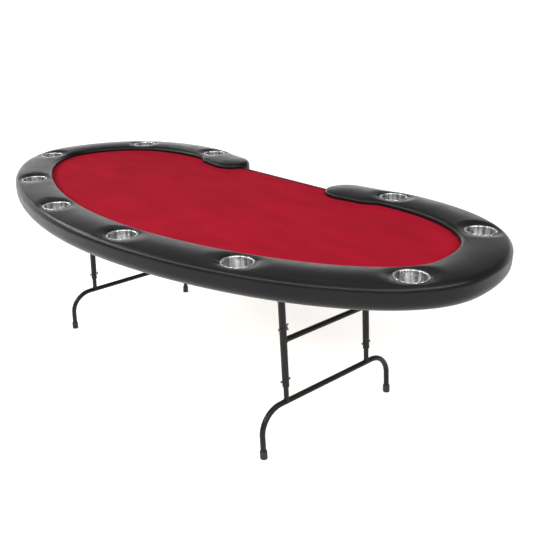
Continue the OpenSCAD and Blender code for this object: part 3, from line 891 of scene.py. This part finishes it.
UPRIGHT_Y = abs(node_middle("upright_right_back").y - LEG_LINE_Y)
UPRIGHT_R = (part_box("upright_right_back")[1].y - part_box("upright_right_back")[0].y) / 2
INNER_R = (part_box("inner_tube_right_back")[1].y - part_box("inner_tube_right_back")[0].y) / 2
CROSSBAR_R = (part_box("crossbar_right")[1].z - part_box("crossbar_right")[0].z) / 2
CROSSBAR_Z = node_middle("crossbar_right").z
FOOT_Y = abs(FOOT.y - LEG_LINE_Y)
FOOT_BAR_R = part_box("foot_bar_right")[1].y - FOOT.y
FOOT_BAR_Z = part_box("foot_bar_right")[1].z - FOOT_BAR_R
CLAMP_Z = node_middle("clamp_bolts_right").z


def crossing(bm, centre, branch, main, branch_r, main_r):
    """A bead round a branch tube, where it leaves the side of a main tube."""
    across = branch.cross(main)
    bead, lift, steps = 0.0015, 0.0004, 56
    path = []
    for i in range(steps):
        angle = 2 * math.pi * i / steps
        u = (branch_r + lift) * math.cos(angle)
        v = (branch_r + lift) * math.sin(angle)
        depth = math.sqrt(max((main_r + lift) ** 2 - u * u, 0.0))
        depth += 0.0003 * math.sin(17 * angle)
        path.append(centre + across * u + main * v + branch * depth)
    tube_along(bm, path, bead, 8, True)


class POKER_OT_welds(bpy.types.Operator):
    """Lays the weld beads where the frame's tubes meet"""

    bl_idname = "poker.welds"
    bl_label = "Weld beads"

    def execute(self, context):
        for hand, side in HANDS.items():
            bm = bmesh.new()
            for row in ROWS.values():
                crossbar = Vector((0, row * UPRIGHT_Y, along_leg(CROSSBAR_Z)))
                foot_bar = Vector((0, row * UPRIGHT_Y, along_leg(FOOT_BAR_Z)))
                top = Vector((0, row * UPRIGHT_Y, along_leg(PIVOT.z)))
                crossing(bm, crossbar, Vector((0, -row, 0)), Vector((0, 0, 1)), CROSSBAR_R, UPRIGHT_R)
                crossing(bm, foot_bar, Vector((0, 0, 1)), Vector((0, 1, 0)), INNER_R, FOOT_BAR_R)
                crossing(bm, top, Vector((0, 0, -1)), Vector((0, 1, 0)), UPRIGHT_R - 0.0002, UPRIGHT_R)
            bmesh.ops.transform(bm, matrix=leg_matrix(side), verts=bm.verts)
            new_object(f"weld_beads_{hand}", finish_mesh(bm, f"weld_beads_{hand}"),
                       leg_body(hand), "black_steel")
        return {"FINISHED"}


class POKER_OT_foot_caps(bpy.types.Operator):
    """Builds the ribbed rubber caps on the feet"""

    bl_idname = "poker.foot_caps"
    bl_label = "Foot caps"

    def execute(self, context):
        radius = FOOT_BAR_R + 0.003
        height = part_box("foot_caps_right")[1].z
        section = [(0.0, -0.004), (radius - 0.004, -0.004), (radius - 0.001, 0.0)]
        section += [(radius, 0.0022), (radius, 0.0050)]
        for i in range(3):
            base = 0.0062 + 0.0042 * i
            section += [(radius - 0.0009, base), (radius - 0.0009, base + 0.0014)]
            section += [(radius, base + 0.0022), (radius, base + 0.0034)]
        section += [(radius, height - 0.0035), (radius - 0.0009, height - 0.0012)]
        section += [(radius - 0.0022, height - 0.0002), (FOOT_BAR_R + 0.0001, height - 0.0012)]
        section += [(FOOT_BAR_R + 0.0001, height - 0.005)]
        for hand, side in HANDS.items():
            bm = bmesh.new()
            for row in ROWS.values():
                part = bmesh.new()
                part.from_mesh(lathe(section, 48, "foot_cap_part"))
                shift = leg_matrix(side) @ Matrix.Translation((0, row * FOOT_Y, 0))
                bmesh.ops.transform(part, matrix=shift, verts=part.verts)
                for vert in part.verts:
                    vert.co.z = max(vert.co.z, 0.0)
                spare = bpy.data.meshes.new("foot_cap_part")
                part.to_mesh(spare)
                part.free()
                bm.from_mesh(spare)
            obj = new_object(f"rubber_feet_{hand}", finish_mesh(bm, f"rubber_feet_{hand}"),
                             leg_body(hand), "rubber_cap")
            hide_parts(f"foot_caps_{hand}")
        return {"FINISHED"}


class POKER_OT_tube_plugs(bpy.types.Operator):
    """Closes the open ends of the pivot tubes with domed plugs"""

    bl_idname = "poker.tube_plugs"
    bl_label = "Tube plugs"

    def execute(self, context):
        flange = UPRIGHT_R - 0.0002
        section = [(0.0, 0.0030), (flange * 0.5, 0.0027), (flange - 0.0016, 0.0018)]
        section += [(flange - 0.0004, 0.0008), (flange, 0.0), (UPRIGHT_R - 0.0020, 0.0)]
        section += [(UPRIGHT_R - 0.0020, -0.010), (0.0, -0.010)]
        for hand, side in HANDS.items():
            low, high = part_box(f"pivot_tube_{hand}")
            bm = bmesh.new()
            for end, turn in ((high.y, -90), (low.y, 90)):
                place = (Matrix.Translation((side * PIVOT.x, end, PIVOT.z))
                         @ Matrix.Rotation(math.radians(turn), 4, "X"))
                part = lathe(section, 40, "plug_part")
                part.transform(place)
                bm.from_mesh(part)
            new_object(f"tube_plugs_{hand}", finish_mesh(bm, f"tube_plugs_{hand}"),
                       leg_body(hand), "rubber_cap")
        return {"FINISHED"}


def wing_nut_mesh(name):
    """A hub with two swept wings, its axis along +Y away from the tube."""
    bm = bmesh.new()
    hub = [(0.0031, 0.0), (0.0058, 0.0), (0.0060, 0.0006), (0.0054, 0.0052), (0.0046, 0.0060),
           (0.0031, 0.0060)]
    part = lathe(hub, 32, "hub", closed_profile=True)
    part.transform(Matrix.Rotation(math.radians(-90), 4, "X"))
    bm.from_mesh(part)
    for wing in (-1, 1):
        outline = [(0.0030, 0.0012), (0.0068, 0.0008), (0.0102, 0.0040), (0.0119, 0.0090),
                   (0.0116, 0.0130), (0.0092, 0.0144), (0.0066, 0.0122), (0.0046, 0.0056)]
        rings = []
        for thick in (-0.0011, 0.0011):
            rings.append([bm.verts.new((thick, y, wing * z)) for z, y in outline])
        bridge(bm, rings[0], rings[1], closed=True)
        bm.faces.new(rings[0])
        bm.faces.new(list(reversed(rings[1])))
    return finish_mesh(bm, name)


class POKER_OT_wing_nuts(bpy.types.Operator):
    """Builds the wing nuts of the clamping bolts"""

    bl_idname = "poker.wing_nuts"
    bl_label = "Wing nuts"

    def execute(self, context):
        for hand, side in HANDS.items():
            bm = bmesh.new()
            for row in ROWS.values():
                part = wing_nut_mesh("wing_nut_part")
                turn = 180 if row > 0 else 0
                place = (leg_matrix(side)
                         @ Matrix.Translation((0, row * (UPRIGHT_Y - UPRIGHT_R), along_leg(CLAMP_Z)))
                         @ Matrix.Rotation(math.radians(turn), 4, "Z"))
                part.transform(place)
                bm.from_mesh(part)
            obj = new_object(f"wing_nut_pair_{hand}", finish_mesh(bm, f"wing_nut_pair_{hand}"),
                             leg_body(hand), "dark_hardware")
            bevel = obj.modifiers.new("rounding", "BEVEL")
            bevel.width = 0.0005
            bevel.segments = 3
            bevel.limit_method = "ANGLE"
            apply_modifiers(obj)
            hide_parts(f"wing_nuts_{hand}")
        return {"FINISHED"}


# ---------------------------------------------------------------- staples under the rail

class POKER_OT_staples(bpy.types.Operator):
    """Drives the staples that hold the turned vinyl to the skirt"""

    bl_idname = "poker.staples"
    bl_label = "Staples"

    def execute(self, context):
        rail = context.scene.poker_rail
        crown, leg, wire, pitch = 0.011, 0.0012, 0.0006, 0.038
        face = rail.turn_under - 0.0062
        height = SKIRT_BOTTOM + 0.0095
        bm = bmesh.new()
        gone = 0.0
        stations = rail_stations(rail)
        for before, after in zip(stations, stations[1:]):
            gone += (after.outer - before.outer).length
            if gone < pitch:
                continue
            gone -= pitch
            inward = (after.inner - after.outer).normalized()
            along = after.along.to_3d()
            inward = inward.to_3d()
            base = after.outer.to_3d() + inward * (face + 0.0010) + Vector((0, 0, height))
            for flip in (1, -1):
                turn = Vector((flip, 1, 1))
                corners = [base - along * crown / 2 - inward * leg, base - along * crown / 2,
                           base + along * crown / 2, base + along * crown / 2 - inward * leg]
                tube_along(bm, [c * turn for c in corners], wire, 6, False)
        new_object("rail_staples", finish_mesh(bm, "rail_staples"),
                   ROOT, "zinc_hardware")
        return {"FINISHED"}


# ---------------------------------------------------------------- finishes of the carried parts

class POKER_OT_finishes(bpy.types.Operator):
    """Gives every carried part its finish"""

    bl_idname = "poker.finishes"
    bl_label = "Finishes of the carried parts"

    def execute(self, context):
        for part in frame["record"]["subparts"]:
            obj = frame["nodes"][part["node"]]
            wanted = material(part["material_slot"])
            if not obj.material_slots:
                obj.data.materials.append(wanted)
            for entry in obj.material_slots:
                entry.material = wanted
        return {"FINISHED"}


# ---------------------------------------------------------------- studio

OVERHEAD_PLACE = (0.3, -0.2, 3.8)
OVERHEAD_AIM = (0.3, -0.2, 0.7)
OVERHEAD_SIZE = (6.0, 4.4)
FLOOR_HALF = 20
WALL_HALF = 12
WALL_GLOW = 1.0
SENSOR_WIDTH = 36


def soft_box(name, place, aim, size, radiance):
    light = bpy.data.lights.new(name, "AREA")
    light.shape = "RECTANGLE"
    light.size, light.size_y = size
    light.energy = radiance * math.pi * size[0] * size[1]
    obj = bpy.data.objects.new(name, light)
    obj.location = place
    obj.rotation_mode = "QUATERNION"
    obj.rotation_quaternion = (Vector(aim) - Vector(place)).to_track_quat("-Z", "Y")
    bpy.context.scene.collection.objects.link(obj)


class POKER_OT_studio(bpy.types.Operator):
    """Sets the floor, the soft lights and the camera"""

    bl_idname = "poker.studio"
    bl_label = "Studio"

    def execute(self, context):
        studio = context.scene.poker_studio
        self.make_floor(studio)
        self.make_lights(studio)
        self.make_camera(context, studio)
        return {"FINISHED"}

    def make_floor(self, studio):
        bm = bmesh.new()
        bmesh.ops.create_grid(bm, x_segments=2, y_segments=2, size=FLOOR_HALF)
        self.stand(bm, "floor", studio, studio.floor_glow)
        bm = bmesh.new()
        ahead = Vector((-math.sin(studio.heading), math.cos(studio.heading), 0))
        aside = Vector((ahead.y, -ahead.x, 0))
        foot = ahead * studio.wall_distance
        corners = [foot - aside * WALL_HALF, foot + aside * WALL_HALF]
        corners += [corner + Vector((0, 0, studio.wall_height)) for corner in reversed(corners)]
        bm.faces.new([bm.verts.new(corner) for corner in corners])
        self.stand(bm, "backdrop", studio, WALL_GLOW)

    def stand(self, bm, name, studio, glow):
        obj = bpy.data.objects.new(name, finish_mesh(bm, name, smooth=False))
        bpy.context.scene.collection.objects.link(obj)
        shader = Shader("pale_" + name, studio.floor_colour, 0.9, Emission_Strength=glow)
        shader.bsdf.inputs["Emission Color"].default_value = (1, 1, 1, 1)
        shader.bsdf.inputs["Specular IOR Level"].default_value = 0.2
        shader.rough(shader.noise(3.0), 0.85, 0.95)
        obj.data.materials.append(shader.material)

    def make_lights(self, studio):
        world = bpy.data.worlds.new("studio")
        bpy.context.scene.world = world
        world.use_nodes = True
        background = world.node_tree.nodes["Background"]
        background.inputs["Color"].default_value = (1.0, 1.0, 1.0, 1)
        background.inputs["Strength"].default_value = studio.soft_light
        soft_box("overhead", OVERHEAD_PLACE, OVERHEAD_AIM, OVERHEAD_SIZE, studio.overhead_radiance)
        strip_size = (studio.strip_distance, studio.strip_depth)
        for i in range(studio.strip_count):
            turn = math.radians(studio.strip_from + studio.strip_step * i)
            around = Vector((math.cos(turn), math.sin(turn), 0)) * studio.strip_distance
            soft_box(f"strip_{i + 1}", around + Vector((0, 0, studio.strip_height)),
                     (0, 0, FELT_TOP), strip_size, studio.strip_radiance)

    def make_camera(self, context, studio):
        heading, tilt, roll = studio.heading, studio.tilt, studio.roll
        ahead = Vector((-math.sin(heading) * math.cos(tilt),
                        math.cos(heading) * math.cos(tilt), -math.sin(tilt)))
        right = Vector((math.cos(heading), math.sin(heading), 0))
        up = right.cross(ahead)
        rolled_right = right * math.cos(roll) + up * math.sin(roll)
        rolled_up = up * math.cos(roll) - right * math.sin(roll)
        data = bpy.data.cameras.new("camera")
        data.lens = studio.lens
        data.sensor_width = SENSOR_WIDTH
        data.shift_x, data.shift_y = studio.shift
        camera = bpy.data.objects.new("camera", data)
        turn = Matrix((rolled_right, rolled_up, -ahead)).transposed().to_4x4()
        camera.matrix_world = Matrix.Translation(studio.camera_place) @ turn
        context.scene.collection.objects.link(camera)
        context.scene.camera = camera
        context.scene.view_settings.view_transform = "Standard"


# ---------------------------------------------------------------- panel and registration

OPERATORS = (
    POKER_OT_finishes,
    POKER_OT_rail,
    POKER_OT_felt,
    POKER_OT_edge_trim,
    POKER_OT_cup_holders,
    POKER_OT_welds,
    POKER_OT_foot_caps,
    POKER_OT_tube_plugs,
    POKER_OT_wing_nuts,
    POKER_OT_staples,
    POKER_OT_studio,
)


class POKER_PT_panel(bpy.types.Panel):
    """Lists the table's pieces in the sidebar"""

    bl_idname = "POKER_PT_panel"
    bl_label = "Poker table"
    bl_space_type = "VIEW_3D"
    bl_region_type = "UI"
    bl_category = "Poker table"

    def draw(self, context):
        for operator in OPERATORS:
            self.layout.operator(operator.bl_idname)


SETTINGS = {
    "poker_rail": RailSettings,
    "poker_felt": FeltSettings,
    "poker_cup": CupSettings,
    "poker_studio": StudioSettings,
}


def register():
    for group in SETTINGS.values():
        bpy.utils.register_class(group)
    for name, group in SETTINGS.items():
        setattr(bpy.types.Scene, name, bpy.props.PointerProperty(type=group))
    for operator in OPERATORS:
        bpy.utils.register_class(operator)
    bpy.utils.register_class(POKER_PT_panel)


def unregister():
    bpy.utils.unregister_class(POKER_PT_panel)
    for operator in reversed(OPERATORS):
        bpy.utils.unregister_class(operator)
    for name in SETTINGS:
        delattr(bpy.types.Scene, name)
    for group in SETTINGS.values():
        bpy.utils.unregister_class(group)


def main():
    register()
    for operator in OPERATORS:
        group, name = operator.bl_idname.split(".")
        getattr(getattr(bpy.ops, group), name)()
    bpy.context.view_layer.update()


if __name__ == "__main__":
    main()
